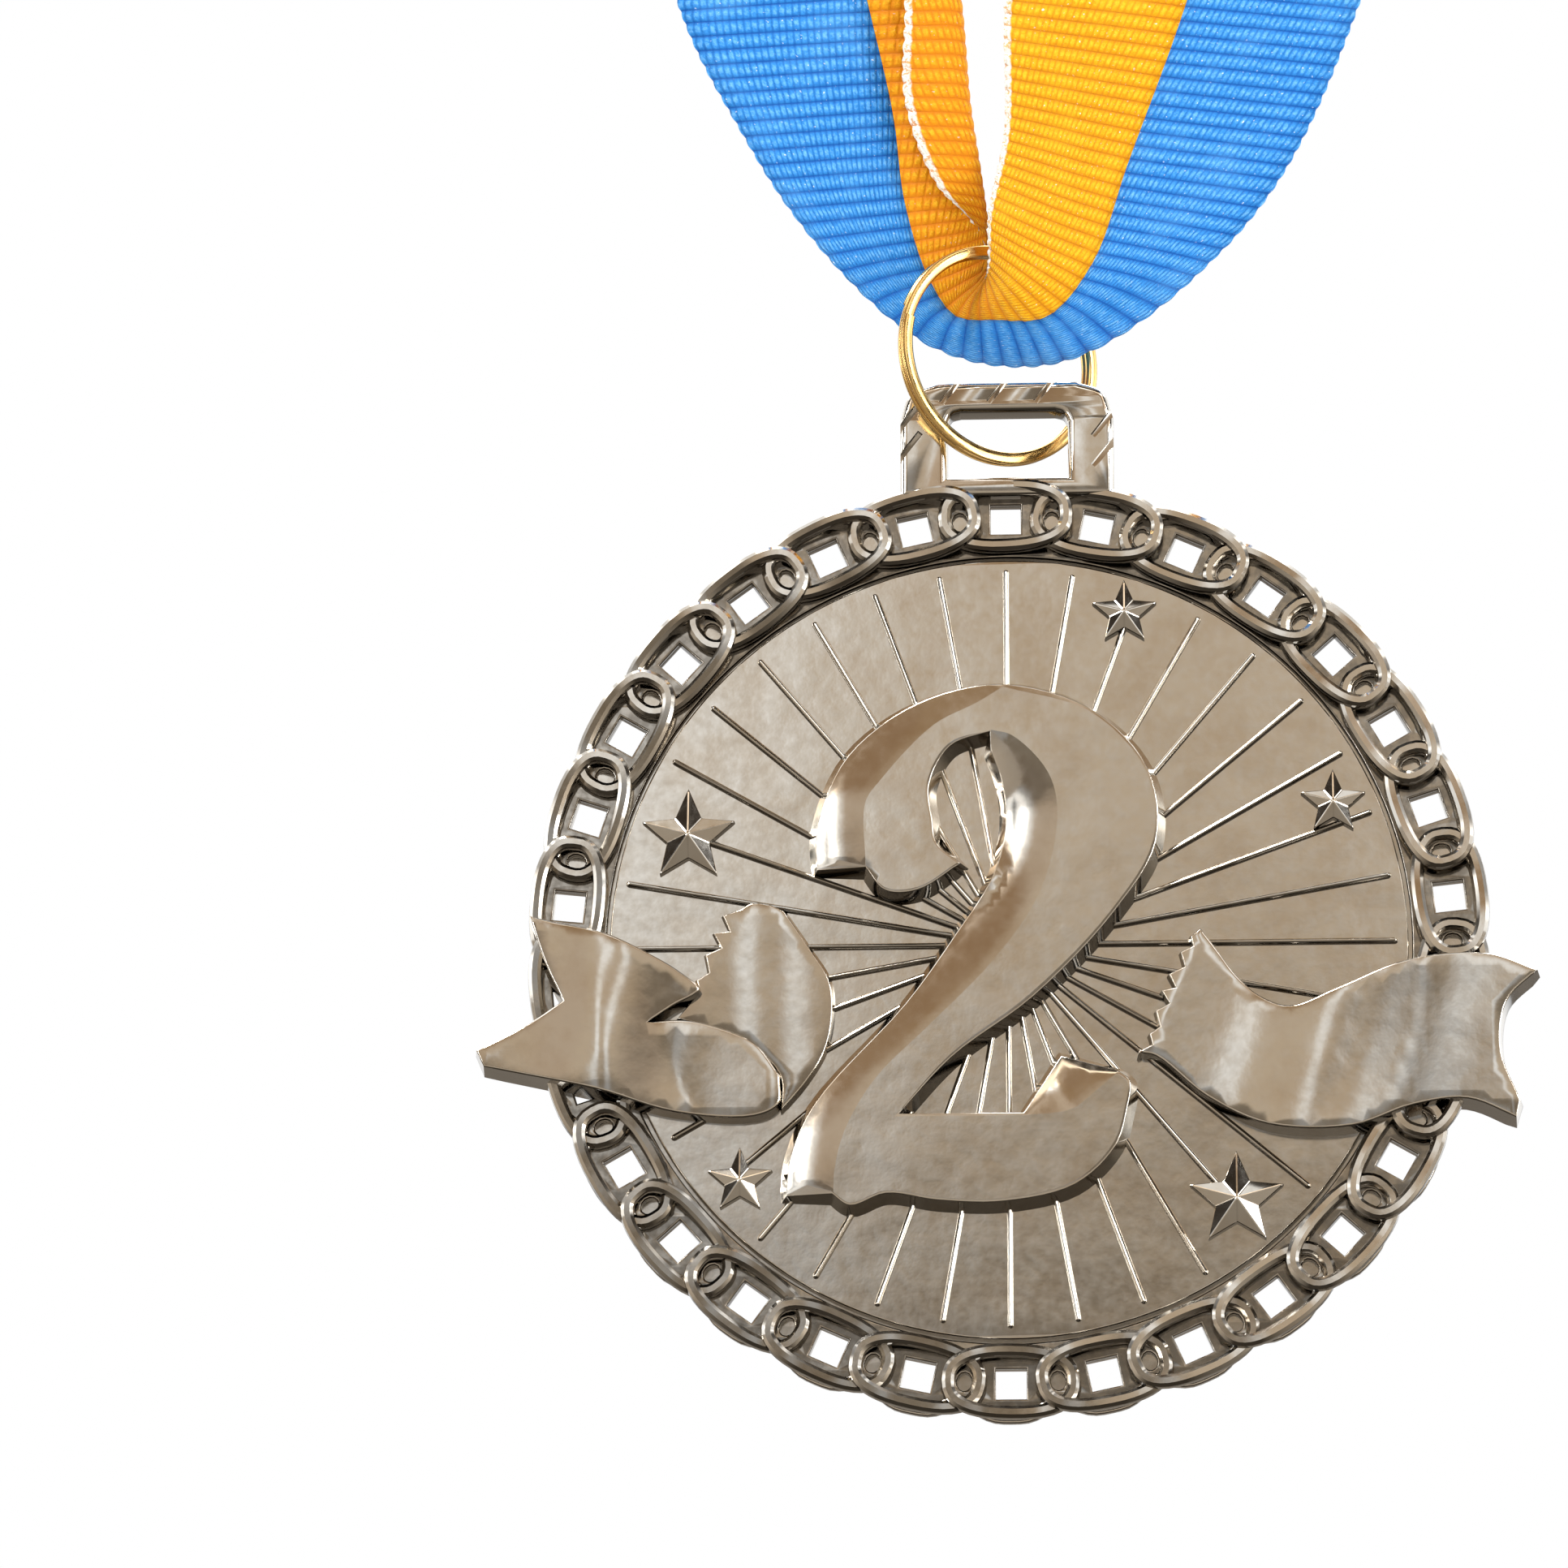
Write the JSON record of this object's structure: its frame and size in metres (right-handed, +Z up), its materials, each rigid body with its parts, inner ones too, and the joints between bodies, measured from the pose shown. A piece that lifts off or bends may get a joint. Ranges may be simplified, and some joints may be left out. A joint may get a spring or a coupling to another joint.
{
  "type": "medal",
  "caption": "Round medal with a raised numeral, rays, stars, torn banners and a chain-link border, hanging by a split ring from a neck ribbon with two colour stripes.",
  "frame": {"origin": "where the ribbon's inner face rests on the back of the neck, at the middle of the ribbon's width", "axes": "+Z up; the medal's face looks along -Y and its flat back along +Y; +X is to the viewer's right when looking at the face"},
  "size_m": [0.1494, 0.1257, 0.3526],
  "materials": {
    "nickel": "bright warm nickel plate with faint mottling",
    "brass": "polished brass-plated wire",
    "ribbon_blue": "ribbed woven ribbon, slight sheen",
    "ribbon_yellow": "ribbed woven ribbon, slight sheen",
    "thread": "sewing thread"
  },
  "bodies": {
    "ribbon": {"ribbon_blue": "ribbon_blue", "ribbon_yellow": "ribbon_yellow", "seam_thread": "thread"},
    "ring": {"split_ring": "brass"},
    "medal": {"medal_disc": "nickel", "chain_border": "nickel", "hanger_loop": "nickel", "numeral_two": "nickel", "banner_left": "nickel", "banner_left_fold": "nickel", "banner_right": "nickel", "star_top": "nickel", "star_upper_right": "nickel", "star_upper_left": "nickel", "star_lower_left": "nickel", "star_lower_right": "nickel"}
  },
  "joints": [
    {"name": "ring_swing", "type": "hinge", "parent": "ribbon", "child": "ring", "pos_m": [0, -0.1192, -0.262], "axis": [1, 0, 0], "range_deg": [-20, 20]},
    {"name": "medal_swing", "type": "hinge", "parent": "ring", "child": "medal", "pos_m": [0, -0.1192, -0.2728], "axis": [1, 0, 0], "range_deg": [-22, 22]}
  ]
}
